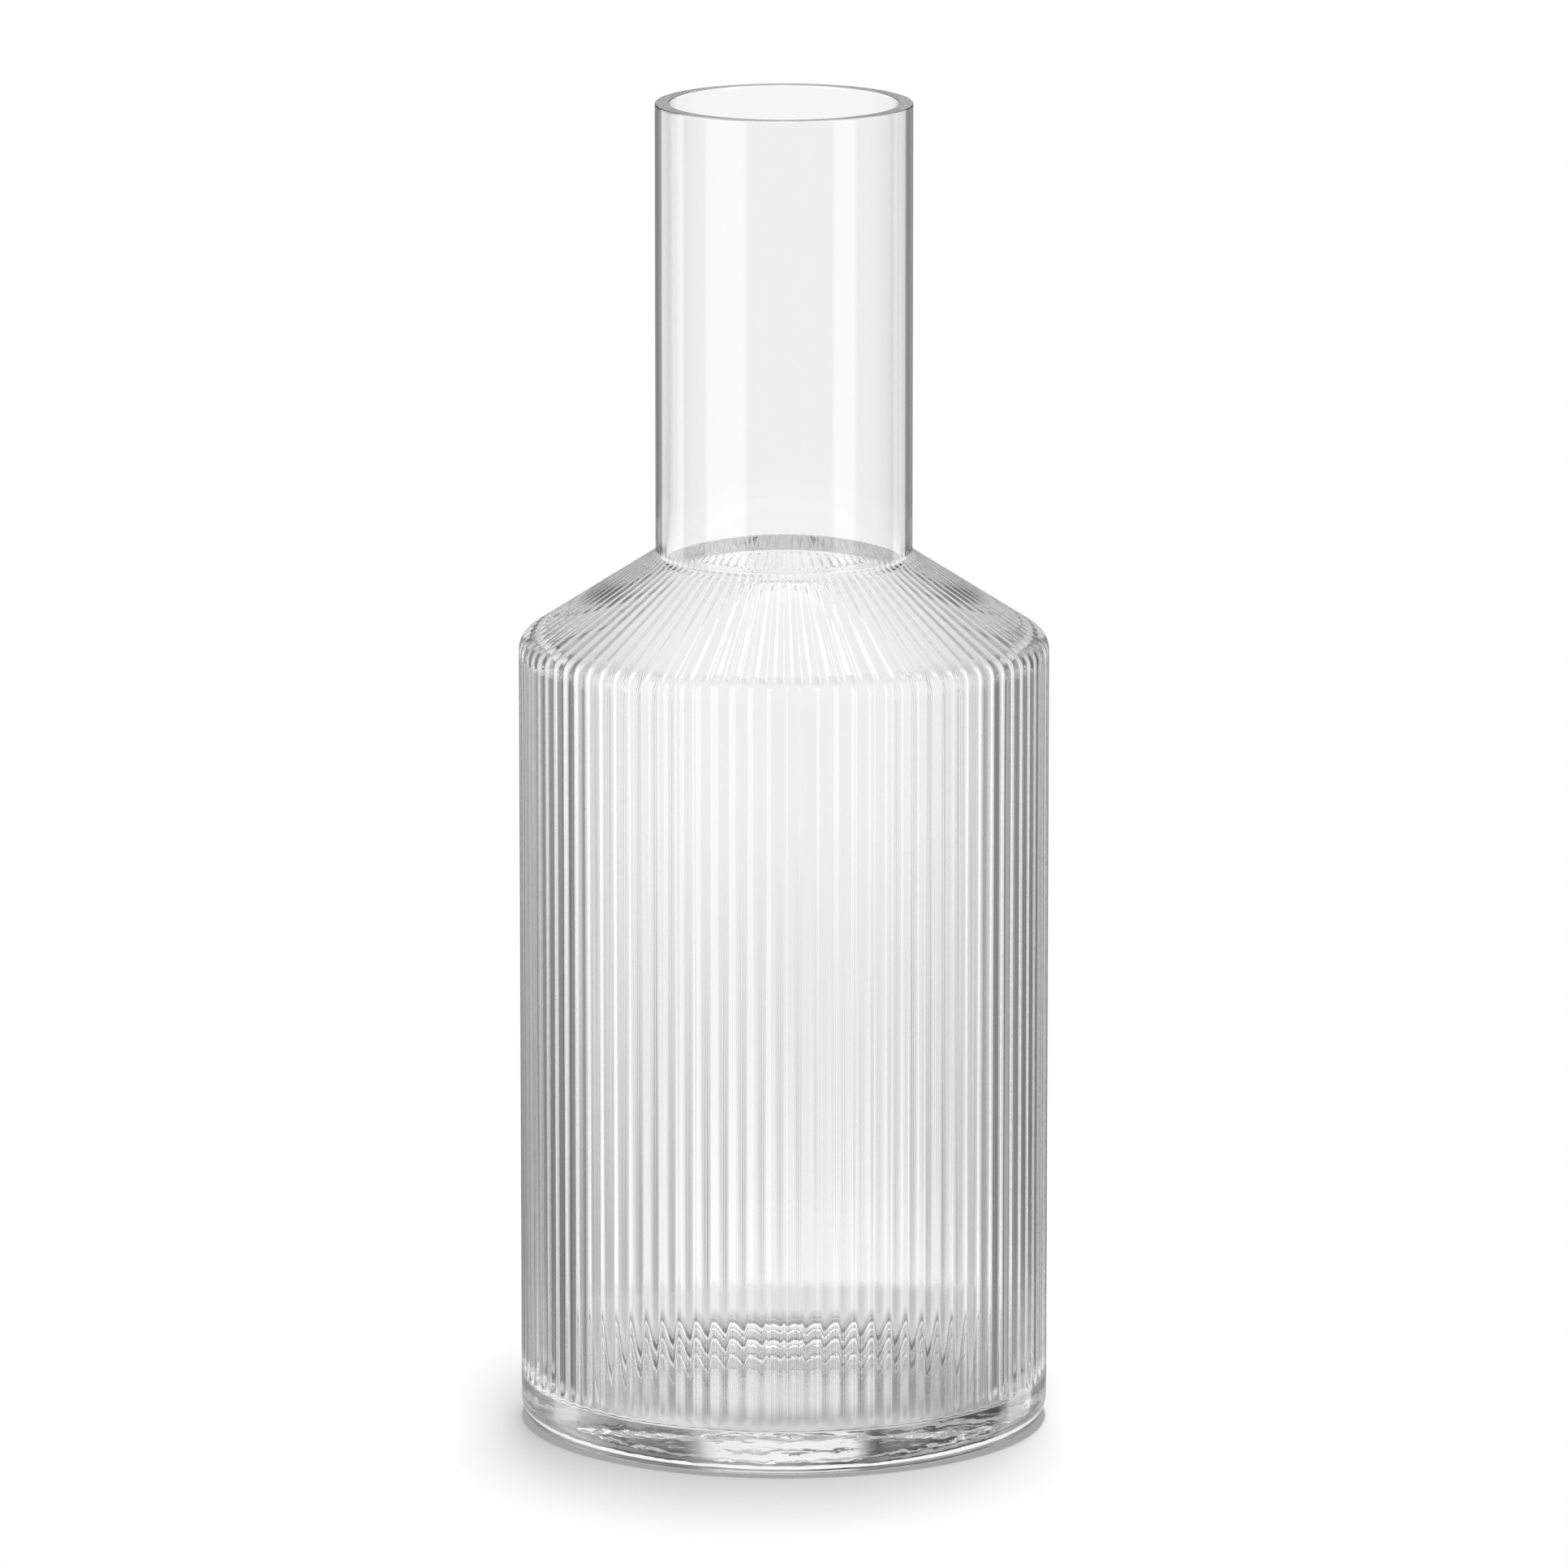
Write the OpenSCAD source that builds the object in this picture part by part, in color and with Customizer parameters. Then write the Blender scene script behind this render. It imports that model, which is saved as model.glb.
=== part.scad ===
// Water carafe blown from clear glass, in millimetres.
// +Z is up. The origin is on the table, under the middle of the foot.
// The vessel is one piece of glass. It is drawn as four lengths that meet face to face.

/* [Overall] */
// Height from the table to the rim
carafe_h = 235; // [210:1:300]
// Diameter of the body over the crests of the ribs
body_d = 93; // [86:1:110]
// Outside diameter of the neck
neck_d = 45; // [42:1:50]

/* [Shoulder] */
// Height at which the body wall would meet the cone of the shoulder
knee_h = 140.2; // [100:0.1:150]
// Slope of the shoulder above the level, in degrees
shoulder_slope = 32.7; // [28:0.1:38]
// Radius of the rounded knee between body and shoulder
knee_round = 3.5; // [2:0.1:5]

/* [Ribs] */
// Number of ribs round the vessel
rib_count = 90; // [60:2:120]
// Depth from the crest of a rib to the valley beside it
rib_depth = 0.4; // [0.2:0.05:0.6]
// Share of the pitch that the rounded crest takes, the rest being the valley
crest_share = 0.7; // [0.55:0.05:0.85]
// Share of the depth that is left past the knee, at the foot of the shoulder
shoulder_share = 0.55; // [0.3:0.05:1]
// Share of the depth that is left where the ribs reach the neck
neck_share = 0.12; // [0.1:0.02:0.5]
// Length over which the ribs run out below the neck
rib_runout = 1; // [0.5:0.1:3]

/* [Foot] */
// Height of the plain band between the table and the ribs
foot_band_h = 8.5; // [8.5:0.5:15]
// Height of the rounding at the edge of the foot
foot_round_h = 4.5; // [2:0.5:6]
// Width of the rounding at the edge of the foot
foot_round_w = 3.2; // [2:0.1:5]
// Width of the flat ring that the carafe stands on
standing_ring_w = 3; // [2:0.5:5]
// Radius of the two curves from the standing ring into the hollow under the foot
ring_round = 2; // [1:0.1:3]
// Steepest slope between those two curves, in degrees
ring_slope = 45; // [30:1:50]
// Further rise of the hollow under the foot, to its middle
punt_rise = 1.2; // [0.5:0.1:2]

/* [Glass] */
// Thickness of the body wall, from the crests
body_wall = 3.1; // [2.5:0.1:4.5]
// Thickness of the shoulder
shoulder_wall = 2.6; // [2.2:0.1:3]
// Thickness of the neck wall
neck_wall = 2.5; // [2:0.1:3.5]
// Thickness of the floor at its edge
floor_h = 7.5; // [6:0.1:7.5]
// Radius inside, between the floor and the wall
floor_round = 1; // [0.5:0.1:1]
// Radius inside, between the body wall and the shoulder
inner_knee_round = 5; // [3:0.5:8]
// Width by which the bore opens out towards its foot
bore_flare = 0.7; // [0.3:0.1:1.2]
// Height over which the bore opens out
bore_flare_h = 12; // [8:1:20]
// Radius inside, between the bore and the shoulder
throat_round = 0.8; // [0.5:0.1:1.5]
// Radius of the fire-polished edges of the rim
rim_round = 0.3; // [0.2:0.1:0.6]

/* [Hidden] */

// Round stretches are drawn with this many sides, and arcs in a profile with these steps
$fn = 180;
arc_steps = 8;
knee_steps = 4;
glass_color = [0.88, 0.91, 0.91, 0.55];
// Overrun of a cutting shape past the face that it opens
overrun = 1;

body_r = body_d / 2;
neck_r = neck_d / 2;
inner_r = body_r - body_wall;
bore_r = neck_r - neck_wall;
mouth_r = bore_r + bore_flare;

// The cone of the shoulder turns this far from the upright wall
knee_turn = 90 - shoulder_slope;
knee_start_h = knee_h - knee_round * tan(knee_turn / 2);
neck_foot_h = knee_h + (body_r - neck_r) * tan(shoulder_slope);

// Inside, the cone lies one shoulder thickness below the outer cone, measured square to it
inner_knee_h = knee_h + body_wall * tan(shoulder_slope) - shoulder_wall / cos(shoulder_slope);
inner_knee_start_h = inner_knee_h - inner_knee_round * tan(knee_turn / 2);

// The foot of the bore opens out along a wide arc that ends this far from upright
flare_r = (bore_flare * bore_flare + bore_flare_h * bore_flare_h) / (2 * bore_flare);
flare_turn = asin(bore_flare_h / flare_r);

// A small round leads from the flare into the inner cone and touches both
throat_center_r = mouth_r + throat_round * cos(flare_turn);
throat_end_r = throat_center_r - throat_round * cos(knee_turn);
throat_center_h = inner_knee_h + (inner_r - throat_end_r) * tan(shoulder_slope) + throat_round * sin(knee_turn);
bore_start_h = throat_center_h + (flare_r - throat_round) * sin(flare_turn);

// Points on an ellipse or circle about a centre, from one angle to another
function arc(center, rx, ry, from, to, steps = arc_steps) = [
  for (i = [0 : steps])
    let (a = from + (to - from) * i / steps)
    [center[0] + rx * cos(a), center[1] + ry * sin(a)]
];

// A list of points without its first, for a stretch that starts where the last one ended
function onward(points) = [for (i = [1 : len(points) - 1]) points[i]];

// Where each rib has its corners: valley, edge of the crest, top of the crest, edge of the crest.
// The numbers are shares of the pitch, counted from the top of the crest.
rib_corners = [-0.5, -crest_share / 2, 0, crest_share / 2];

// Depth below the crest at a share u of the pitch: one arch for the crest and a hollow for the valley
function rib_drop(u) = abs(u) <= crest_share / 2
  ? rib_depth * crest_share * pow(2 * u / crest_share, 2)
  : rib_depth - rib_depth * (1 - crest_share) * pow((1 - 2 * abs(u)) / (1 - crest_share), 2);

// One ring of the ribbed surface. A station holds radius, height, the slant of the surface and
// the share of the full rib depth. The drop is taken square to the surface.
function rib_ring(station) = [
  for (rib = [0 : rib_count - 1], u = rib_corners)
    let (
      angle = (rib + u) * 360 / rib_count,
      drop = rib_drop(u) * station[3],
      r = station[0] - drop * cos(station[2]),
      z = station[1] - drop * sin(station[2])
    )
    [r * cos(angle), r * sin(angle), z]
];

// Stations up the shoulder: round the knee, up the cone and out to nothing at the neck.
// The ribs grow shallower all the way.
shoulder_stations = concat(
  [
    for (i = [0 : knee_steps])
      let (
        a = knee_turn * i / knee_steps,
        share = 1 - (1 - shoulder_share) * i / knee_steps
      )
      [body_r - knee_round + knee_round * cos(a), knee_start_h + knee_round * sin(a), a, share]
  ],
  [
    [neck_r + rib_runout, neck_foot_h - rib_runout * tan(shoulder_slope), knee_turn, neck_share],
    [neck_r, neck_foot_h, knee_turn, 0]
  ]
);

// The hollow inside: floor, wall, knee, cone, throat, flare and bore, running out past the rim
module hollow() {
  rotate_extrude()
    polygon(concat(
      [[0, floor_h]],
      arc([inner_r - floor_round, floor_h + floor_round], floor_round, floor_round, -90, 0),
      arc([inner_r - inner_knee_round, inner_knee_start_h], inner_knee_round, inner_knee_round, 0, knee_turn),
      arc([throat_center_r, throat_center_h], throat_round, throat_round, 180 + knee_turn, 180 + flare_turn),
      onward(arc([bore_r + flare_r, bore_start_h], flare_r, flare_r, 180 + flare_turn, 180)),
      arc([bore_r + rim_round, carafe_h - rim_round], rim_round, rim_round, 180, 90),
      [[bore_r + rim_round, carafe_h + overrun], [0, carafe_h + overrun]]
    ));
}

// Foot band, standing ring and floor, slightly hollow underneath
module base() {
  ring_outer_r = body_r - foot_round_w;
  ring_inner_r = ring_outer_r - standing_ring_w;
  punt_edge_r = ring_inner_r - 2 * ring_round * sin(ring_slope);
  punt_edge_h = 2 * ring_round * (1 - cos(ring_slope));
  // Radius of the shallow dome whose rise and half width are known
  punt_r = (punt_edge_r * punt_edge_r + punt_rise * punt_rise) / (2 * punt_rise);
  punt_half_angle = asin(punt_edge_r / punt_r);
  color(glass_color)
    difference() {
      rotate_extrude()
        polygon(concat(
          arc([0, punt_edge_h + punt_rise - punt_r], punt_r, punt_r, 90, 90 - punt_half_angle),
          onward(arc([punt_edge_r, punt_edge_h - ring_round], ring_round, ring_round, 90, 90 - ring_slope)),
          onward(arc([ring_inner_r, ring_round], ring_round, ring_round, -90 - ring_slope, -90)),
          arc([ring_outer_r, foot_round_h], foot_round_w, foot_round_h, -90, 0),
          [[body_r, foot_band_h], [0, foot_band_h]]
        ));
      hollow();
    }
}

// Upright wall, ribbed outside and smooth inside
module ribbed_wall() {
  color(glass_color)
    difference() {
      translate([0, 0, foot_band_h])
        linear_extrude(height = knee_start_h - foot_band_h)
          polygon([for (p = rib_ring([body_r, 0, 0, 1])) [p[0], p[1]]]);
      hollow();
    }
}

// Rounded knee and cone, with the ribs running up to the neck
module shoulder() {
  corner_count = rib_count * len(rib_corners);
  last = len(shoulder_stations) - 1;
  points = [for (station = shoulder_stations) each rib_ring(station)];
  // Each four-sided patch between two rings is two triangles
  patches = [
    for (s = [0 : last - 1], i = [0 : corner_count - 1])
      let (
        j = (i + 1) % corner_count,
        a = s * corner_count + i,
        b = s * corner_count + j
      )
      each [[a, a + corner_count, b], [b, a + corner_count, b + corner_count]]
  ];
  underside = [[for (i = [0 : corner_count - 1]) i]];
  top = [[for (i = [corner_count - 1 : -1 : 0]) last * corner_count + i]];
  color(glass_color)
    difference() {
      polyhedron(points = points, faces = concat(patches, underside, top), convexity = 4);
      hollow();
    }
}

// Plain round neck with its bore, which opens out at the foot, and a flat rim
module neck() {
  color(glass_color)
    difference() {
      rotate_extrude()
        polygon(concat(
          [[0, neck_foot_h], [neck_r, neck_foot_h]],
          arc([neck_r - rim_round, carafe_h - rim_round], rim_round, rim_round, 0, 90),
          [[0, carafe_h]]
        ));
      hollow();
    }
}

base();
ribbed_wall();
shoulder();
neck();
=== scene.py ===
import math

import bpy
import numpy as np
from bpy.props import FloatProperty, FloatVectorProperty, IntProperty, PointerProperty
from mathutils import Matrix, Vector


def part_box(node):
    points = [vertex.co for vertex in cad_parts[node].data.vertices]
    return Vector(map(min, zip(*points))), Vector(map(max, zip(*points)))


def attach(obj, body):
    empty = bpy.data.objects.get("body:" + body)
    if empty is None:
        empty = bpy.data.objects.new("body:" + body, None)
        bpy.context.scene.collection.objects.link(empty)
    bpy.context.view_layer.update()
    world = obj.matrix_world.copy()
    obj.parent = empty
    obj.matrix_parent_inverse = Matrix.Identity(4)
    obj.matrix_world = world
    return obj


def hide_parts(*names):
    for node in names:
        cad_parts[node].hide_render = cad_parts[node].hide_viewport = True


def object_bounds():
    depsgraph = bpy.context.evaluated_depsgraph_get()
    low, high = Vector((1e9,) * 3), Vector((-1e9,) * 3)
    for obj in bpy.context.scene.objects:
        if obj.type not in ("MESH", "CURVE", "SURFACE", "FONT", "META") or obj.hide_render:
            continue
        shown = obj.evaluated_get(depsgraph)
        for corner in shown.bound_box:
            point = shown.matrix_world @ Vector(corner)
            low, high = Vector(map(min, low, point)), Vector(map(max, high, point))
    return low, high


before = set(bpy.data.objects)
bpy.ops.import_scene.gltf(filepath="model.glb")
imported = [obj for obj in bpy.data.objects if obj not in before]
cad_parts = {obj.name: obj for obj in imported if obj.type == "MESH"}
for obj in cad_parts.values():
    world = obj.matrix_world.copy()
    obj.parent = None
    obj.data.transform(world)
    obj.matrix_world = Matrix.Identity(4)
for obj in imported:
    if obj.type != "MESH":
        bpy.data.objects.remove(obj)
CAD_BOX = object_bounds()
NECK_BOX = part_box("neck")
WALL_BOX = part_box("ribbed_wall")
MM = 0.001

bl_info = {
    "name": "Ribbed Glass Carafe",
    "version": (1, 0, 0),
    "blender": (4, 5, 0),
    "location": "3D View > Sidebar > Carafe",
    "description": "Builds a mould-blown ribbed glass carafe on a pale table in a soft light tent",
    "category": "Add Mesh",
}

# Below, lengths are in metres and azimuths in degrees from the camera's side towards +X. A height
# on the studio wall is the sine of its elevation, and a brightness of 1 is white. Where two numbers
# mark a soft edge, the effect is nothing at the first and full at the second.

# A straight stretch has a guard ring this far from each end, or this share of a short one
GUARD_RING = 0.15 * MM
GUARD_SHARE = 0.2
# Above the plain foot the rings lie close together for this height, where the ribs run in
CLOSE_RINGS = 3.0 * MM
# The ribs change to their shoulder depth between these heights from the foot of the knee
KNEE_BLEND = (-2.0 * MM, 5.0 * MM)
# Two points of the profile this near each other are one
SAME_POINT = 1e-7
# Rounds in which the knee and the slope of the shoulder settle
KNEE_ROUNDS = 20

# Relief in the glass that is too fine for the mesh. The mould leaves ripples of this width, depth
# and height at the foot, and they die out upwards.
RIPPLE_SIZE = (3.125 * MM, 3.125 * MM, 1.724 * MM)
RIPPLE_EDGE = (10.0 * MM, 8.0 * MM)
# The ribs press through faintly into the throat, within these heights and this radius
FLUTE_FOOT = (148.0 * MM, 151.0 * MM)
FLUTE_TOP = (157.0 * MM, 154.5 * MM)
FLUTE_RADIUS = (22.2 * MM, 21.6 * MM)

TABLE_SIZE = 8.0
# The table that the glass shows is a round, about a middle of its own
TABLE_ROUND = 0.198
TABLE_ROUND_MIDDLE = (0.01, -0.10, 0.0)
# A reflection shows a smaller round, about the foot
MIRRORED_ROUND = 0.056
ROUND_EDGE = 0.004
# Painted light on the table under the foot, in place of light that the glass would gather there: distance
# from the middle in mm, and brightness
PAINTED_FOOT_LIGHT = (
    (0, 0.62), (12, 0.6), (18, 0.42), (23, 0.26), (27, 0.26), (33, 0.5), (37, 0.36), (40.5, 0.45),
    (41.5, 0.85), (43, 0.85), (43.6, 0.0), (50, 0.0),
)
# The painted light fades evenly towards the right, between these places across, to this share
FOOT_RIGHT = (0.005, 0.032)
FOOT_RIGHT_LEFT_OVER = 0.45
# Painted shade: the table beside the foot, seen through the glass, is made darker by this share: how far
# across it sets in, and how far from the middle it ends
SIDE_LOSS = 0.4
SIDE_ACROSS = (0.01, 0.075)
SIDE_REACH = (0.14, 0.09)
# Painted shade behind the carafe: what the glass shows beyond the round of table is made darker, on the
# left more than on the right: the most that is lost, and its share by place across and by place away from
# the foot
BEHIND_PAINTED_SHADE = 0.5
BEHIND_ACROSS = (
    (-0.25, 0.0), (-0.15, 0.6), (-0.10, 1.0), (-0.055, 1.0), (-0.018, 0.0), (0.045, 0.0),
    (0.10, 0.6), (0.16, 0.4), (0.25, 0.0),
)
BEHIND_AWAY = ((0.0, 0.0), (0.03, 0.0), (0.08, 1.0), (0.10, 1.0), (0.53, 0.0), (1.0, 0.0))

# What the outside of the glass reflects: a grey room with soft boxes, each given by its azimuth,
# half its width and its lowest height
ROOM = 0.27
SOFTBOX_LIGHT = 2.1
SOFTBOX_TOP = 0.7
SOFTBOXES = (
    (-132.0, 10.0, -0.215),
    (-112.0, 10.0, -0.6),
    (-54.0, 20.0, -0.6),
    (56.0, 11.0, -0.6),
    (128.0, 12.0, -0.6),
)
SOFT_EDGE = 0.05
# What shows by reflection inside the glass: the studio wall by azimuth
WALL = (
    (-180, 0.35), (-171, 0.06), (-161, 0.36), (-150, 0.47), (-135, 0.46), (-122, 0.2), (-110, 0.22),
    (-100, 0.32), (-85, 0.17), (0, 0.17), (85, 0.17), (100, 0.37), (112, 0.22), (125, 0.26),
    (138, 0.58), (151, 0.3), (162, 0.18), (174, 0.42), (180, 0.3),
)
# The same above the horizon, with a white panel straight behind that the foot picks up
WALL_ABOVE = (
    (-180, 0.95), (-170, 0.9), (-167, 0.1), (-160, 0.05), (-140, 0.07), (-136, 0.4), (-122, 0.25),
    (-85, 0.17), (85, 0.17), (110, 0.25), (132, 0.4), (146, 0.35), (151, 0.1), (165, 0.08),
    (167, 0.3), (170, 0.9), (180, 0.95),
)
HORIZON = (-0.02, 0.02)
# Steeply down and steeply up, the wall gives way to the ground and the ceiling
STEEP = (0.24, 0.45)
GROUND = 0.9
CEILING = 0.5
# Low down on the left the studio falls off, and once more in one corner: heights and what is lost
LOW_HEIGHT = (-0.17, -0.235)
LEFT_SIDE = (0.05, -0.05)
LEFT_LOSS = 0.3
CORNER_AZIMUTH = -146.0
CORNER_HALF_WIDTH = 12.0
CORNER_REACH = 0.6
CORNER_LOSS = 0.6

# The long lamp overhead: its height, and per metre of height half its width, half its length and
# its lean towards +X and +Y
LAMP_HEIGHT = 60.0
LAMP_HALF = (0.06, 0.25)
LAMP_LEAN = (0.03, 0.04)
# Its bright middle as the glass reflects it, with the brightness of its reflection outside and of
# what comes to it through the neck
STRIP_HALF = (0.052, 0.20)
STRIP_LEAN = (0.016, 0.14)
# Its soft edge, as shares of its half
STRIP_EDGE = (1.5, 0.5)
STRIP_ABOVE = (0.3, 0.5)
STRIP_LIGHT = 4.5
STRIP_LIGHT_THROUGH = 6.5


def srgb(hex_code):
    """An sRGB hex colour as linear red, green and blue."""
    parts = [int(hex_code[i:i + 2], 16) / 255 for i in (1, 3, 5)]
    return [c / 12.92 if c <= 0.04045 else ((c + 0.055) / 1.055) ** 2.4 for c in parts]


class CarafeShape(bpy.types.PropertyGroup):
    """Sizes of the vessel. Defaults come from the frame where it holds them."""

    height: FloatProperty(
        name="Height", description="From the table to the rim",
        default=CAD_BOX[1].z, min=0.1, unit="LENGTH")
    body_radius: FloatProperty(
        name="Body radius", description="Over the crests of the ribs",
        default=WALL_BOX[1].x, min=0.02, unit="LENGTH")
    neck_radius: FloatProperty(
        name="Neck radius", description="Outside radius of the neck",
        default=NECK_BOX[1].x, min=0.01, unit="LENGTH")
    neck_foot: FloatProperty(
        name="Neck foot", description="Height at which the shoulder meets the neck",
        default=NECK_BOX[0].z, min=0.05, unit="LENGTH")
    knee_start: FloatProperty(
        name="Knee start", description="Height at which the upright wall ends",
        default=WALL_BOX[1].z, min=0.05, unit="LENGTH")
    knee_round: FloatProperty(
        name="Knee radius", description="Rounding outside, between body and shoulder",
        default=3.5 * MM, min=0.0, unit="LENGTH")
    inner_knee_round: FloatProperty(
        name="Inner knee radius", description="Rounding inside, between body and shoulder",
        default=5.0 * MM, min=0.0, unit="LENGTH")
    body_wall: FloatProperty(
        name="Body wall", description="Thickness of the body from the crests",
        default=3.1 * MM, min=0.001, unit="LENGTH")
    shoulder_wall: FloatProperty(
        name="Shoulder wall", description="Thickness of the shoulder",
        default=2.6 * MM, min=0.001, unit="LENGTH")
    neck_wall: FloatProperty(
        name="Neck wall", description="Thickness of the neck",
        default=2.5 * MM, min=0.001, unit="LENGTH")
    neck_fillet: FloatProperty(
        name="Neck fillet", description="Radius outside, between the shoulder and the neck",
        default=0.6 * MM, min=0.0, unit="LENGTH")
    throat_round: FloatProperty(
        name="Throat radius", description="Radius inside, between the neck's bore and the shoulder",
        default=0.8 * MM, min=0.0, unit="LENGTH")
    flare: FloatProperty(
        name="Flare", description="How far the bore opens out towards its foot",
        default=0.7 * MM, min=0.0, unit="LENGTH")
    flare_height: FloatProperty(
        name="Flare height", description="Height over which the bore opens out",
        default=12.0 * MM, min=0.001, unit="LENGTH")
    floor_thickness: FloatProperty(
        name="Floor thickness", description="Thickness of the floor at its edge",
        default=7.5 * MM, min=0.001, unit="LENGTH")
    floor_round: FloatProperty(
        name="Floor rounding", description="Radius inside, between floor and wall",
        default=1.0 * MM, min=0.0, unit="LENGTH")
    foot_round_height: FloatProperty(
        name="Foot rounding height", description="Height of the rounding at the edge of the foot",
        default=4.5 * MM, min=0.0, unit="LENGTH")
    foot_round_width: FloatProperty(
        name="Foot rounding width", description="Width of the rounding at the edge of the foot",
        default=3.2 * MM, min=0.0, unit="LENGTH")
    ring_width: FloatProperty(
        name="Ring width", description="Width of the flat ring that the carafe stands on",
        default=3.0 * MM, min=0.0005, unit="LENGTH")
    ring_round: FloatProperty(
        name="Ring rounding", description="Radius of the two curves from the ring into the punt",
        default=2.0 * MM, min=0.0001, unit="LENGTH")
    ring_slope: FloatProperty(
        name="Ring slope", description="Steepest slope between the ring and the punt",
        default=math.radians(45), min=0.01, max=1.5, subtype="ANGLE")
    punt_rise: FloatProperty(
        name="Punt rise", description="Further rise of the hollow under the foot, to its middle",
        default=1.2 * MM, min=0.0001, unit="LENGTH")
    rim_round: FloatProperty(
        name="Rim rounding", description="Radius of the polished edges of the rim",
        default=0.3 * MM, min=0.0, unit="LENGTH")


class CarafeRibs(bpy.types.PropertyGroup):
    """The ribs that the mould leaves on body and shoulder."""

    count: IntProperty(
        name="Ribs", description="Number of ribs round the vessel", default=90, min=12)
    depth: FloatProperty(
        name="Depth", description="From a crest to the valley beside it",
        default=0.4 * MM, min=0.0, unit="LENGTH")
    crest_share: FloatProperty(
        name="Crest share", description="Share of the pitch that the rounded crest takes",
        default=0.7, min=0.3, max=0.9, subtype="FACTOR")
    shoulder_share: FloatProperty(
        name="Shoulder share", description="Depth at the knee of the shoulder against the body's",
        default=0.7, min=0.0, max=1.0, subtype="FACTOR")
    neck_share: FloatProperty(
        name="Neck share", description="Depth where the ribs meet the neck against the body's",
        default=0.25, min=0.0, max=1.0, subtype="FACTOR")
    start: FloatProperty(
        name="Start", description="Height at which the ribs begin above the plain foot",
        default=WALL_BOX[0].z, min=0.0, unit="LENGTH")
    run_in: FloatProperty(
        name="Run-in", description="Height over which the ribs rise out of the plain foot",
        default=2.5 * MM, min=0.0001, unit="LENGTH")
    run_out: FloatProperty(
        name="Run-out", description="Height over which the ribs end below the neck",
        default=0.4 * MM, min=0.0001, unit="LENGTH")
    neck_gap: FloatProperty(
        name="Neck gap", description="Height left plain between the ribs and the neck",
        default=0.35 * MM, min=0.0, unit="LENGTH")


class CarafeGlass(bpy.types.PropertyGroup):
    """The glass and the faint relief in its skin."""

    color: FloatVectorProperty(
        name="Colour", description="Colour of the light that comes through",
        subtype="COLOR", size=3, min=0.0, max=1.0, default=srgb("#ffffff"))
    ior: FloatProperty(
        name="Index of refraction", description="How strongly the glass bends light",
        default=1.52, min=1.0, max=2.0)
    ripple: FloatProperty(
        name="Ripples", description="Depth of the ripples that the mould leaves at the foot",
        default=0.04 * MM, min=0.0, unit="LENGTH", precision=5)
    flute: FloatProperty(
        name="Flutes", description="Depth to which the ribs press through into the throat",
        default=0.04 * MM, min=0.0, unit="LENGTH", precision=5)


class CarafeStage(bpy.types.PropertyGroup):
    """The table and the levels of light."""

    table_color: FloatVectorProperty(
        name="Table colour", description="Colour of the laminate",
        subtype="COLOR", size=3, min=0.0, max=1.0, default=srgb("#f4f4f4"))
    table_lift: FloatProperty(
        name="Table lift", description="Brightness added to the table for the camera alone",
        default=0.15, min=0.0, max=1.0)
    lamp: FloatProperty(
        name="Lamp", description="Brightness that the long lamp gives a white table",
        default=0.72, min=0.0)
    dome: FloatProperty(
        name="Dome", description="Brightness of the even light that falls on the table",
        default=0.25, min=0.0)


def add_node(tree, kind, inputs=(), **settings):
    """Adds one node. Settings are its attributes. Inputs are a dict by name, or a list or tuple in
    their order, and each is a value, a socket, or a node that gives its first output."""
    node = tree.nodes.new(kind)
    for name, value in settings.items():
        setattr(node, name, value)
    for key, value in inputs.items() if isinstance(inputs, dict) else enumerate(inputs):
        source = value.outputs[0] if isinstance(value, bpy.types.Node) else value
        if isinstance(source, bpy.types.NodeSocket):
            tree.links.new(source, node.inputs[key])
        else:
            node.inputs[key].default_value = source
    return node


def new_material(name):
    """A material without nodes, and its tree."""
    material = bpy.data.materials.new(name)
    material.use_nodes = True
    material.node_tree.nodes.clear()
    return material, material.node_tree


def arc(center, rx, ry, start, end, steps):
    """Points and outward normals on an ellipse about a centre, angles in degrees from +r to +z.

    A point is the centre plus (rx cos a, ry sin a), and its normal runs along
    (cos a / rx, sin a / ry)."""
    a = np.radians(np.linspace(start, end, steps + 1))
    points = np.stack([center[0] + rx * np.cos(a), center[1] + ry * np.sin(a)], 1)
    normals = np.stack([np.cos(a) / rx, np.sin(a) / ry], 1)
    return points, normals / np.linalg.norm(normals, axis=1, keepdims=True)


def hollow_arc(center, rx, ry, start, end, steps):
    """Like arc, for glass that lies outside the curve, so the normals point inwards."""
    points, normals = arc(center, rx, ry, start, end, steps)
    return points, -normals


def line(start, end, normal, steps):
    """Points on a straight stretch of the profile, all with one normal.

    A guard ring near each end keeps the shading straight."""
    guard = min(GUARD_SHARE, GUARD_RING / math.dist(start, end))
    t = np.concatenate([[0], np.linspace(guard, 1 - guard, steps + 1), [1]])[:, None]
    points = np.array(start) * (1 - t) + np.array(end) * t
    return points, np.tile(np.array(normal, float), (len(t), 1))


def smoothstep(x, low, high):
    """0 below low, 1 above high and a smooth S between them: 3 t squared less 2 t cubed."""
    t = np.clip((x - low) / (high - low), 0, 1)
    return t * t * (3 - 2 * t)


def rib_drop(u, crest_share):
    """Depth of the surface below the crest, as a share of the rib depth, at u pitches from a crest.

    The crest is one parabola and the valley another, and they meet with the same slope."""
    u = np.abs((u + 0.5) % 1.0 - 0.5)
    crest = crest_share * (2 * u / crest_share) ** 2
    valley = 1 - (1 - crest_share) * ((1 - 2 * u) / (1 - crest_share)) ** 2
    return np.where(2 * u <= crest_share, crest, valley)


def rib_corners(crest_share):
    """Where a rib has its corners, in pitches from its crest: at the valley, at the edges of the
    crest, on the crest, and halfway between each of these."""
    edge = crest_share / 2
    flank = (0.5 + edge) / 2
    return np.array([-0.5, -flank, -edge, -edge / 2, 0.0, edge / 2, edge, flank])


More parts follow.
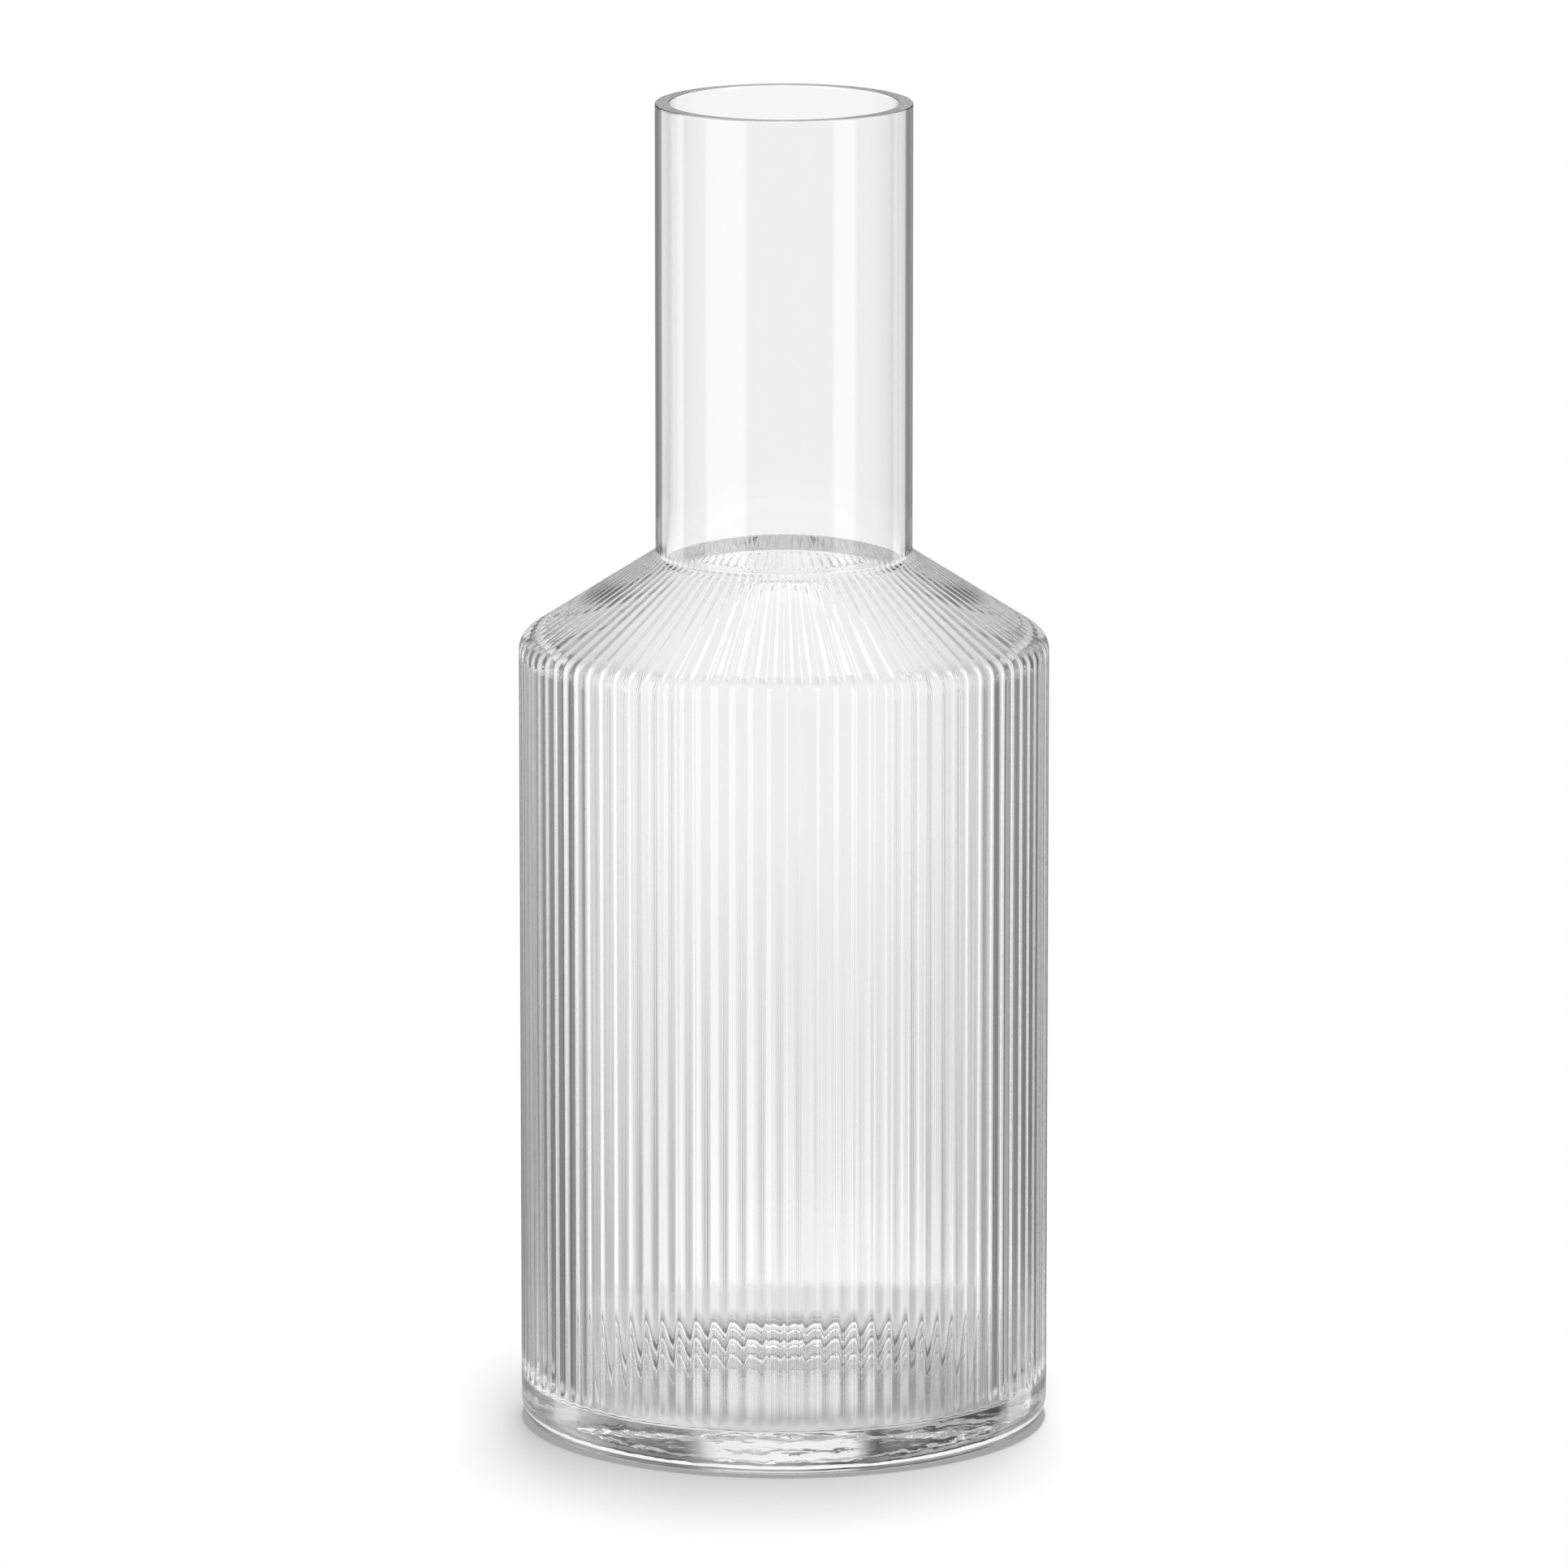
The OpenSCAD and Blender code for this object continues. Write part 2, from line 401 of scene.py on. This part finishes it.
def carafe_profile(s, ribs):
    """Half section of the vessel: radius and height, normal, and share of the rib depth.

    It runs from the middle of the punt, out and up the outside, over the rim and down the inside to
    the middle of the floor. Each stretch is a straight line or an arc that touches its neighbours."""
    # The knee is where body and cone would meet without their rounding. It and the slope depend on
    # each other.
    slope = math.atan2(s.neck_foot - s.knee_start, s.body_radius - s.neck_radius)
    for _ in range(KNEE_ROUNDS):
        knee = s.knee_start + s.knee_round * math.tan((math.pi / 2 - slope) / 2)
        slope = math.atan2(s.neck_foot - knee, s.body_radius - s.neck_radius)
    turn_angle = math.pi / 2 - slope
    turn = math.degrees(turn_angle)
    cone_normal = (math.sin(slope), math.cos(slope))

    # Underneath, a shallow dome runs through two curves into the ring that the carafe stands on
    ring_out = s.body_radius - s.foot_round_width
    ring_in = ring_out - s.ring_width
    bank = math.degrees(s.ring_slope)
    punt_edge = ring_in - 2 * s.ring_round * math.sin(s.ring_slope)
    punt_height = 2 * s.ring_round * (1 - math.cos(s.ring_slope))
    punt_radius = (punt_edge ** 2 + s.punt_rise ** 2) / (2 * s.punt_rise)
    punt_half = math.degrees(math.asin(punt_edge / punt_radius))

    # Outside, the cone runs from the rounded knee to the fillet at the neck
    knee_center = (s.body_radius - s.knee_round, s.knee_start)
    cone_start = (
        knee_center[0] + s.knee_round * math.cos(turn_angle),
        knee_center[1] + s.knee_round * math.sin(turn_angle))
    fillet = s.neck_fillet
    fillet_reach = fillet * math.tan(turn_angle / 2)
    cone_end = (
        s.neck_radius + fillet_reach * math.cos(slope),
        s.neck_foot - fillet_reach * math.sin(slope))

    # Inside, the bore opens out along a wide arc and turns into the cone through a small round
    inner = s.body_radius - s.body_wall
    bore = s.neck_radius - s.neck_wall
    inner_knee = knee + s.body_wall * math.tan(slope) - s.shoulder_wall / math.cos(slope)
    inner_knee_start = inner_knee - s.inner_knee_round * math.tan(turn_angle / 2)
    flare_round = (s.flare ** 2 + s.flare_height ** 2) / (2 * s.flare)
    flare_angle = math.asin(s.flare_height / flare_round)
    flare_turn = math.degrees(flare_angle)
    throat_radius = bore + s.flare + s.throat_round * math.cos(flare_angle)
    inner_cone_end = throat_radius - s.throat_round * math.cos(turn_angle)
    throat_height = (inner_knee + (inner - inner_cone_end) * math.tan(slope)
                     + s.throat_round * math.sin(turn_angle))
    flare_start = throat_height + (flare_round - s.throat_round) * math.sin(flare_angle)
    rim = s.rim_round
    ribs_run_in = ribs.start + CLOSE_RINGS

    outside = [
        hollow_arc((0, punt_height + s.punt_rise - punt_radius), punt_radius, punt_radius,
                   90, 90 - punt_half, steps=6),
        hollow_arc((punt_edge, punt_height - s.ring_round), s.ring_round, s.ring_round,
                   90, 90 - bank, steps=5),
        arc((ring_in, s.ring_round), s.ring_round, s.ring_round, -90 - bank, -90, steps=5),
        line((ring_in, 0), (ring_out, 0), (0, -1), steps=2),
        arc((ring_out, s.foot_round_height), s.foot_round_width, s.foot_round_height,
            -90, 0, steps=10),
        line((s.body_radius, s.foot_round_height), (s.body_radius, ribs.start), (1, 0), steps=2),
        line((s.body_radius, ribs.start), (s.body_radius, ribs_run_in), (1, 0), steps=6),
        line((s.body_radius, ribs_run_in), (s.body_radius, s.knee_start), (1, 0), steps=3),
        arc(knee_center, s.knee_round, s.knee_round, 0, turn, steps=8),
        line(cone_start, cone_end, cone_normal, steps=8),
        hollow_arc((s.neck_radius + fillet, cone_end[1] + fillet * math.cos(slope)), fillet, fillet,
                   180 + turn, 180, steps=4),
        line((s.neck_radius, s.neck_foot + fillet_reach), (s.neck_radius, s.height - rim), (1, 0),
             steps=3),
        arc((s.neck_radius - rim, s.height - rim), rim, rim, 0, 90, steps=3),
    ]
    inside = [
        arc((bore + rim, s.height - rim), rim, rim, 90, 180, steps=3),
        line((bore, s.height - rim), (bore, flare_start), (-1, 0), steps=3),
        arc((bore + flare_round, flare_start), flare_round, flare_round,
            180, 180 + flare_turn, steps=8),
        arc((throat_radius, throat_height), s.throat_round, s.throat_round,
            180 + flare_turn, 180 + turn, steps=8),
        hollow_arc((inner - s.inner_knee_round, inner_knee_start),
                   s.inner_knee_round, s.inner_knee_round, turn, 0, steps=8),
        line((inner, inner_knee_start), (inner, s.floor_thickness + s.floor_round), (-1, 0),
             steps=3),
        hollow_arc((inner - s.floor_round, s.floor_thickness + s.floor_round),
                   s.floor_round, s.floor_round, 0, -90, steps=8),
        line((inner - s.floor_round, s.floor_thickness), (0, s.floor_thickness), (0, 1), steps=4),
    ]
    points, normals = (np.concatenate(parts) for parts in zip(*outside, *inside))
    outer_count = sum(len(stretch) for stretch, _ in outside)
    share = rib_share(points, s, ribs) * (np.arange(len(points)) < outer_count)
    # Neighbouring stretches share an end, which is kept once
    keep = np.ones(len(points), bool)
    keep[1:] = np.linalg.norm(np.diff(points, axis=0), axis=1) > SAME_POINT
    return points[keep], normals[keep], share[keep]


def rib_share(points, s, ribs):
    """Share of the rib depth at each point of the outside.

    It rises from 0 at the plain foot to 1 on the body. Across the knee it changes smoothly to the
    shoulder's, which falls evenly with the radius, and it ends just below the neck."""
    r, z = points.T
    inward = (s.body_radius - r) / (s.body_radius - s.neck_radius)
    shoulder = ribs.shoulder_share + (ribs.neck_share - ribs.shoulder_share) * inward
    on_shoulder = smoothstep(z - s.knee_start, *KNEE_BLEND)
    end = s.neck_foot - ribs.neck_gap
    rising = smoothstep(z, ribs.start, ribs.start + ribs.run_in)
    ending = smoothstep(z, end - ribs.run_out, end)
    return rising * (1 - ending) * (1 + on_shoulder * (shoulder - 1))


def revolve(name, points, normals, share, ribs):
    """Turns the half section about Z. Each ring is pushed in along its normal by the rib relief:
    (r, z) less share x depth x drop(angle) x normal.

    The first and last stations lie on the axis and become single points, so the skin is closed."""
    pitch = 2 * math.pi / ribs.count
    turns = (np.arange(ribs.count)[:, None] + rib_corners(ribs.crest_share)).ravel()
    angles = turns * pitch
    drop = rib_drop(turns, ribs.crest_share) * ribs.depth
    push = share[1:-1, None] * drop[None, :]
    r = points[1:-1, 0, None] - push * normals[1:-1, 0, None]
    z = points[1:-1, 1, None] - push * normals[1:-1, 1, None]
    xyz = np.stack([r * np.cos(angles), r * np.sin(angles), z], -1)
    rings, sides = xyz.shape[:2]
    low_pole, high_pole = (0, 0, points[0, 1]), (0, 0, points[-1, 1])
    verts = np.concatenate([[low_pole], xyz.reshape(-1, 3), [high_pole]])
    i = np.arange(rings - 1)[:, None] * sides + 1
    j = np.arange(sides)[None, :]
    k = (j + 1) % sides
    quads = np.stack([i + j, i + k, i + sides + k, i + sides + j], -1).reshape(-1, 4)
    last_ring = 1 + (rings - 1) * sides
    low_fan = np.stack([np.zeros(sides, int), 1 + k[0], 1 + j[0]], -1)
    high_fan = np.stack([np.full(sides, len(verts) - 1), last_ring + j[0], last_ring + k[0]], -1)
    mesh = bpy.data.meshes.new(name)
    mesh.from_pydata(verts.tolist(), [], quads.tolist() + low_fan.tolist() + high_fan.tolist())
    mesh.polygons.foreach_set("use_smooth", np.ones(len(mesh.polygons), bool))
    mesh.update()
    piece = bpy.data.objects.new(name, mesh)
    bpy.context.scene.collection.objects.link(piece)
    return piece


def window(tree, value, rise, fall):
    """1 between two soft edges and 0 outside them. Each edge runs from nothing to full."""
    rising = add_node(tree, "ShaderNodeMapRange", (value, *rise), interpolation_type="SMOOTHSTEP")
    falling = add_node(tree, "ShaderNodeMapRange", (value, *fall), interpolation_type="SMOOTHSTEP")
    return add_node(tree, "ShaderNodeMath", (rising, falling), operation="MULTIPLY")


def course(tree, value, stops):
    """A level that follows a value. Stops are values in rising order, each with its level."""
    first, last = stops[0][0], stops[-1][0]
    share = add_node(tree, "ShaderNodeMapRange", (value, first, last))
    node = add_node(tree, "ShaderNodeValToRGB", (share,))
    elements = node.color_ramp.elements
    for at, _ in stops[1:-1]:
        elements.new((at - first) / (last - first))
    for element, (_, level) in zip(elements, stops):
        element.color = (level, level, level, 1)
    return node


def softbox(tree, azimuth, height, center, half_width, bottom, top):
    """A soft-edged panel on the studio wall: 1 inside, 0 outside."""
    left, right = math.radians(center - half_width), math.radians(center + half_width)
    across = window(tree, azimuth, (left - SOFT_EDGE, left + SOFT_EDGE),
                    (right + SOFT_EDGE, right - SOFT_EDGE))
    upright = window(tree, height, (bottom - SOFT_EDGE, bottom + SOFT_EDGE),
                     (top + SOFT_EDGE, top - SOFT_EDGE))
    return add_node(tree, "ShaderNodeMath", (across, upright), operation="MULTIPLY")


def throat_flutes(tree, position, count):
    """A cosine wave round the axis, one for each rib, that shows only in the throat."""
    x, y, z = add_node(tree, "ShaderNodeSeparateXYZ", (position,)).outputs
    flat = add_node(tree, "ShaderNodeVectorMath", (position, (1, 1, 0)), operation="MULTIPLY")
    radius = add_node(tree, "ShaderNodeVectorMath", (flat,), operation="LENGTH").outputs["Value"]
    inside = add_node(tree, "ShaderNodeMapRange", (radius, *FLUTE_RADIUS),
                      interpolation_type="SMOOTHSTEP")
    level = window(tree, z, FLUTE_FOOT, FLUTE_TOP)
    throat = add_node(tree, "ShaderNodeMath", (level, inside), operation="MULTIPLY")
    angle = add_node(tree, "ShaderNodeMath", (y, x), operation="ARCTAN2")
    phase = add_node(tree, "ShaderNodeMath", (angle, count), operation="MULTIPLY")
    wave = add_node(tree, "ShaderNodeMath", (phase,), operation="COSINE")
    return add_node(tree, "ShaderNodeMath", (throat, wave), operation="MULTIPLY")


def foot_ripples(tree, position):
    """Noise, stretched to the size of the ripples, that dies out above the foot band."""
    height = add_node(tree, "ShaderNodeSeparateXYZ", (position,)).outputs["Z"]
    squeezed = add_node(tree, "ShaderNodeMapping", {
        "Vector": position, "Scale": [1 / size for size in RIPPLE_SIZE]})
    noise = add_node(tree, "ShaderNodeTexNoise", {
        "Vector": squeezed, "Scale": 1.0, "Detail": 1.0, "Roughness": 0.5})
    foot = add_node(tree, "ShaderNodeMapRange", (height, *RIPPLE_EDGE),
                    interpolation_type="SMOOTHSTEP")
    return add_node(tree, "ShaderNodeMath", (foot, noise), operation="MULTIPLY")


def soda_lime_glass(glass, rib_count):
    """Clear soda-lime glass, blown in a ribbed mould and polished at the rim."""
    # It is clear and smooth to the eye, which sees only what it bends and mirrors. The mould chills
    # its skin unevenly, and that breaks the light in the foot and the throat into small patches.
    material, tree = new_material("clear_soda_lime_glass_mould_blown")
    position = add_node(tree, "ShaderNodeTexCoord").outputs["Object"]
    flutes = add_node(tree, "ShaderNodeMath", (
        throat_flutes(tree, position, rib_count), glass.flute), operation="MULTIPLY")
    relief = add_node(tree, "ShaderNodeMath", (
        foot_ripples(tree, position), glass.ripple, flutes), operation="MULTIPLY_ADD")
    bump = add_node(tree, "ShaderNodeBump", {"Strength": 1.0, "Distance": 1.0, "Height": relief})
    shader = add_node(tree, "ShaderNodeBsdfPrincipled", {
        "Base Color": (*glass.color, 1.0), "Roughness": 0.0, "IOR": glass.ior,
        "Transmission Weight": 1.0, "Normal": bump})
    add_node(tree, "ShaderNodeOutputMaterial", {"Surface": shader})
    return material


def painted_foot_light(tree, across, distance):
    """Painted light on the table under the foot, in place of light that the vessel would gather there by
    way of the open neck.
    """
    painted_glow = course(tree, distance, [(at * MM, level) for at, level in PAINTED_FOOT_LIGHT])
    rightwards = add_node(tree, "ShaderNodeMapRange", (
        across, *FOOT_RIGHT, 1.0, FOOT_RIGHT_LEFT_OVER))
    return add_node(tree, "ShaderNodeMath", (painted_glow, rightwards), operation="MULTIPLY")


def painted_side_shade(tree, across, distance):
    """Painted shade: how much darker the table is made beside the foot."""
    off_axis = add_node(tree, "ShaderNodeMath", (across,), operation="ABSOLUTE")
    aside = add_node(tree, "ShaderNodeMapRange", (off_axis, *SIDE_ACROSS),
                     interpolation_type="SMOOTHSTEP")
    near = add_node(tree, "ShaderNodeMapRange", (distance, *SIDE_REACH, 0.0, SIDE_LOSS),
                    interpolation_type="SMOOTHSTEP")
    return add_node(tree, "ShaderNodeMath", (aside, near), operation="MULTIPLY")


def beyond_round(tree, position, distance, mirrored):
    """1 where the glass shows the studio and not the table, 0 within the round that it shows."""
    off_middle = add_node(tree, "ShaderNodeVectorMath", (position, TABLE_ROUND_MIDDLE),
                          operation="DISTANCE").outputs["Value"]
    seen_through, seen_mirrored = (
        add_node(tree, "ShaderNodeMapRange", (reach, radius - ROUND_EDGE, radius + ROUND_EDGE),
                 interpolation_type="SMOOTHSTEP")
        for reach, radius in ((off_middle, TABLE_ROUND), (distance, MIRRORED_ROUND)))
    seen_mirrored = add_node(tree, "ShaderNodeMath", (mirrored, seen_mirrored),
                             operation="MULTIPLY")
    return add_node(tree, "ShaderNodeMath", (seen_through, seen_mirrored), operation="MAXIMUM")


def matt_laminate(stage):
    """Matt pale laminate, pressed smooth, that keeps the soft shadow.

    The camera sees it white. Rays that have met the glass see a round of it about the foot, with painted
    light under the foot and painted shade beside it, and the studio beyond, with painted shade behind the
    carafe."""
    # It is matt, so it shows no reflection of the carafe, only its shadow
    material, tree = new_material("matt_white_laminate")
    path = add_node(tree, "ShaderNodeLightPath")
    position = add_node(tree, "ShaderNodeTexCoord").outputs["Object"]
    across, away, _ = add_node(tree, "ShaderNodeSeparateXYZ", (position,)).outputs
    distance = add_node(tree, "ShaderNodeVectorMath", (position,),
                        operation="LENGTH").outputs["Value"]
    mirrored = add_node(tree, "ShaderNodeMath", (path.outputs["Glossy Depth"], 1.0),
                        operation="MINIMUM")
    met_glass = add_node(tree, "ShaderNodeMath", (
        path.outputs["Glossy Depth"], path.outputs["Transmission Depth"]),
        operation="ADD", use_clamp=True)

    laminate = add_node(tree, "ShaderNodeBsdfDiffuse", {"Color": (*stage.table_color, 1.0)})
    # Painted light under the foot, seen only by rays that have met the glass
    painted_glow = add_node(tree, "ShaderNodeMath", (met_glass, painted_foot_light(tree, across, distance)),
                        operation="MULTIPLY")
    # The emission is the camera's even lift plus the painted light under the foot
    lift = add_node(tree, "ShaderNodeMath", (
        path.outputs["Is Camera Ray"], stage.table_lift, painted_glow), operation="MULTIPLY_ADD")
    lift_and_painted_glow = add_node(tree, "ShaderNodeEmission", {"Strength": lift})
    laminate_with_lift_and_painted_glow = add_node(tree, "ShaderNodeAddShader", (laminate, lift_and_painted_glow))
    # Painted shade beside the foot, seen only by rays that have met the glass
    shade = add_node(tree, "ShaderNodeMath", (met_glass, painted_side_shade(tree, across, distance)),
                     operation="MULTIPLY")
    # The second shader is left out, which mixes in black
    top = add_node(tree, "ShaderNodeMixShader", (shade, laminate_with_lift_and_painted_glow))

    # Beyond the round the ray goes on into the studio, darkened there by the painted shade behind the
    # carafe
    fall = add_node(tree, "ShaderNodeMath", (
        course(tree, across, BEHIND_ACROSS), course(tree, away, BEHIND_AWAY)),
        operation="MULTIPLY")
    direct = add_node(tree, "ShaderNodeMath", (1.0, mirrored), operation="SUBTRACT")
    fall = add_node(tree, "ShaderNodeMath", (fall, direct), operation="MULTIPLY")
    left_over = add_node(tree, "ShaderNodeMath", (fall, -BEHIND_PAINTED_SHADE, 1.0),
                         operation="MULTIPLY_ADD")
    clear = add_node(tree, "ShaderNodeBsdfTransparent", {"Color": left_over})
    beyond = add_node(tree, "ShaderNodeMath", (
        met_glass, beyond_round(tree, position, distance, mirrored)), operation="MULTIPLY")
    surface = add_node(tree, "ShaderNodeMixShader", (beyond, top, clear))
    add_node(tree, "ShaderNodeOutputMaterial", {"Surface": surface})
    return material


def overhead_strip(tree, x, y, z):
    """The bright middle of the lamp overhead, as a share of its brightness by direction."""
    sides = [
        window(tree, way, [lean - share * half for share in STRIP_EDGE],
               [lean + share * half for share in STRIP_EDGE])
        for way, half, lean in zip((x, y), STRIP_HALF, STRIP_LEAN)]
    above = add_node(tree, "ShaderNodeMapRange", (z, *STRIP_ABOVE),
                     interpolation_type="SMOOTHSTEP")
    rectangle = add_node(tree, "ShaderNodeMath", sides, operation="MULTIPLY")
    return add_node(tree, "ShaderNodeMath", (rectangle, above), operation="MULTIPLY")


def room_outside(tree, azimuth, z, strip):
    """What the outside of the glass reflects: the grey room, the strip and the soft boxes."""
    room = add_node(tree, "ShaderNodeMath", (strip, STRIP_LIGHT, ROOM), operation="MULTIPLY_ADD")
    for center, half_width, bottom in SOFTBOXES:
        panel = softbox(tree, azimuth, z, center, half_width, bottom, SOFTBOX_TOP)
        room = add_node(tree, "ShaderNodeMath", (panel, SOFTBOX_LIGHT, room),
                        operation="MULTIPLY_ADD")
    return room


def room_inside(tree, azimuth, x, z, strip):
    """What shows by reflection inside the glass: wall, pale ground, ceiling and the strip."""
    wall, wall_above = (
        course(tree, azimuth, [(math.radians(degrees), level) for degrees, level in stops])
        for stops in (WALL, WALL_ABOVE))
    up = add_node(tree, "ShaderNodeMapRange", (z, *HORIZON), interpolation_type="SMOOTHSTEP")
    wall = add_node(tree, "ShaderNodeMix", {"Factor": up, "A": wall, "B": wall_above})
    ends = add_node(tree, "ShaderNodeMix", {"Factor": up, "A": GROUND, "B": CEILING})
    tilt = add_node(tree, "ShaderNodeMath", (z,), operation="ABSOLUTE")
    steep = add_node(tree, "ShaderNodeMapRange", (tilt, *STEEP), interpolation_type="SMOOTHSTEP")
    room = add_node(tree, "ShaderNodeMix", {"Factor": steep, "A": wall, "B": ends})

    left = add_node(tree, "ShaderNodeMapRange", (x, *LEFT_SIDE, 0.0, LEFT_LOSS),
                    interpolation_type="SMOOTHSTEP")
    corner = softbox(tree, azimuth, z, CORNER_AZIMUTH, CORNER_HALF_WIDTH,
                     -CORNER_REACH, CORNER_REACH)
    lost = add_node(tree, "ShaderNodeMath", (corner, CORNER_LOSS, left), operation="MULTIPLY_ADD")
    low = add_node(tree, "ShaderNodeMapRange", (z, *LOW_HEIGHT))
    lost = add_node(tree, "ShaderNodeMath", (lost, low), operation="MULTIPLY")
    left_over = add_node(tree, "ShaderNodeMath", (1.0, lost), operation="SUBTRACT")
    room = add_node(tree, "ShaderNodeMath", (room, left_over), operation="MULTIPLY")
    return add_node(tree, "ShaderNodeMath", (strip, STRIP_LIGHT_THROUGH, room),
                    operation="MULTIPLY_ADD")


def studio_light(tree, stage):
    """The studio: white where the glass only lets light through, and a grey room with soft boxes
    where the glass reflects."""
    path = add_node(tree, "ShaderNodeLightPath")
    way = add_node(tree, "ShaderNodeTexCoord").outputs["Generated"]
    x, y, z = add_node(tree, "ShaderNodeSeparateXYZ", (way,)).outputs
    nearness = add_node(tree, "ShaderNodeMath", (y, -1.0), operation="MULTIPLY")
    azimuth = add_node(tree, "ShaderNodeMath", (x, nearness), operation="ARCTAN2")
    strip = overhead_strip(tree, x, y, z)
    outside = room_outside(tree, azimuth, z, strip)
    inside = room_inside(tree, azimuth, x, z, strip)
    entered, reflected, lit = (
        add_node(tree, "ShaderNodeMath", (path.outputs[depth], 1.0), operation="MINIMUM")
        for depth in ("Transmission Depth", "Glossy Depth", "Diffuse Depth"))
    seen = add_node(tree, "ShaderNodeMix", {"Factor": entered, "A": outside, "B": inside})
    seen = add_node(tree, "ShaderNodeMix", {"Factor": reflected, "A": 1.0, "B": seen})
    seen = add_node(tree, "ShaderNodeMix", {"Factor": lit, "A": seen, "B": stage.dome})
    seen = add_node(tree, "ShaderNodeMix", {
        "Factor": path.outputs["Is Camera Ray"], "A": seen, "B": 1.0})
    back = add_node(tree, "ShaderNodeBackground", {"Color": (1, 1, 1, 1), "Strength": seen})
    add_node(tree, "ShaderNodeOutputWorld", {"Surface": back})


class CARAFE_OT_glass(bpy.types.Operator):
    """Makes the vessel as one closed skin of glass and lets it stand for the four lengths of the frame"""

    bl_idname = "carafe.glass"
    bl_label = "Carafe glass"

    def execute(self, context):
        scene = context.scene
        ribs = scene.carafe_ribs
        points, normals, share = carafe_profile(scene.carafe_shape, ribs)
        vessel = revolve("vessel", points, normals, share, ribs)
        vessel.data.materials.append(soda_lime_glass(scene.carafe_glass, ribs.count))
        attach(vessel, "root")
        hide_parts("base", "ribbed_wall", "shoulder", "neck")
        # Light that bounces off the table passes it by, so that only the lamp throws its shadow
        vessel.visible_diffuse = False
        return {"FINISHED"}


class CARAFE_OT_stage(bpy.types.Operator):
    """Makes the pale table, the light tent and the camera"""

    bl_idname = "carafe.stage"
    bl_label = "Table, light and camera"

    def execute(self, context):
        scene = context.scene
        scene.view_settings.view_transform = "Standard"
        # Light goes round inside the foot and the throat many times before it leaves
        scene.cycles.max_bounces = 96
        scene.cycles.transmission_bounces = 24
        scene.cycles.glossy_bounces = 40
        self.table(scene)
        self.world(scene)
        self.overhead(scene)
        self.camera(scene)
        return {"FINISHED"}

    def table(self, scene):
        bpy.ops.mesh.primitive_plane_add(size=TABLE_SIZE)
        table = bpy.context.object
        table.name = "table"
        table.data.materials.append(matt_laminate(scene.carafe_stage))

    def world(self, scene):
        world = bpy.data.worlds.new("studio")
        scene.world = world
        world.use_nodes = True
        world.node_tree.nodes.clear()
        # What the world shows depends on the ray's path, so no map of its lights is made
        world.cycles.sampling_method = "NONE"
        studio_light(world.node_tree, scene.carafe_stage)

    def overhead(self, scene):
        """The long lamp that gives the table its shadow. The glass sees its double in the world."""
        data = bpy.data.lights.new("overhead", "AREA")
        data.shape = "RECTANGLE"
        data.size, data.size_y = (2 * half * LAMP_HEIGHT for half in LAMP_HALF)
        # Power that gives the table, straight below, the brightness asked for
        data.energy = scene.carafe_stage.lamp * math.pi ** 2 * LAMP_HEIGHT ** 2
        light = bpy.data.objects.new("overhead", data)
        scene.collection.objects.link(light)
        light.location = (*(lean * LAMP_HEIGHT for lean in LAMP_LEAN), LAMP_HEIGHT)
        light.visible_camera = light.visible_glossy = light.visible_transmission = False

    def camera(self, scene):
        """The camera fitted to the photo: focal length in pixels of the square frame."""
        distance, elevation, aim_height = 2.325, math.radians(11.5), 0.114
        focal_px, image_px, sensor = 16300.0, 1932.0, 36.0
        data = bpy.data.cameras.new("camera")
        data.sensor_width = sensor
        data.lens = focal_px / image_px * sensor
        camera = bpy.data.objects.new("camera", data)
        scene.collection.objects.link(camera)
        camera.location = (
            0, -distance * math.cos(elevation), aim_height + distance * math.sin(elevation))
        aim = Vector((0, 0, aim_height)) - camera.location
        camera.rotation_euler = aim.to_track_quat("-Z", "Y").to_euler()
        scene.camera = camera


class CARAFE_PT_panel(bpy.types.Panel):
    """Lists the carafe's sizes and the steps that build it"""

    bl_idname = "CARAFE_PT_panel"
    bl_label = "Ribbed carafe"
    bl_space_type = "VIEW_3D"
    bl_region_type = "UI"
    bl_category = "Carafe"

    def draw(self, context):
        for name in GROUPS:
            group = getattr(context.scene, name)
            for key in group.bl_rna.properties.keys():
                if key not in {"rna_type", "name"}:
                    self.layout.prop(group, key)
        for operator in OPERATORS:
            self.layout.operator(operator.bl_idname)


GROUPS = {
    "carafe_shape": CarafeShape,
    "carafe_ribs": CarafeRibs,
    "carafe_glass": CarafeGlass,
    "carafe_stage": CarafeStage,
}
OPERATORS = (CARAFE_OT_glass, CARAFE_OT_stage)
CLASSES = (*GROUPS.values(), *OPERATORS, CARAFE_PT_panel)


def register():
    for cls in CLASSES:
        bpy.utils.register_class(cls)
    for name, group in GROUPS.items():
        setattr(bpy.types.Scene, name, PointerProperty(type=group))


def unregister():
    for name in GROUPS:
        delattr(bpy.types.Scene, name)
    for cls in reversed(CLASSES):
        bpy.utils.unregister_class(cls)


def main():
    register()
    bpy.ops.carafe.glass()
    bpy.ops.carafe.stage()


if __name__ == "__main__":
    main()
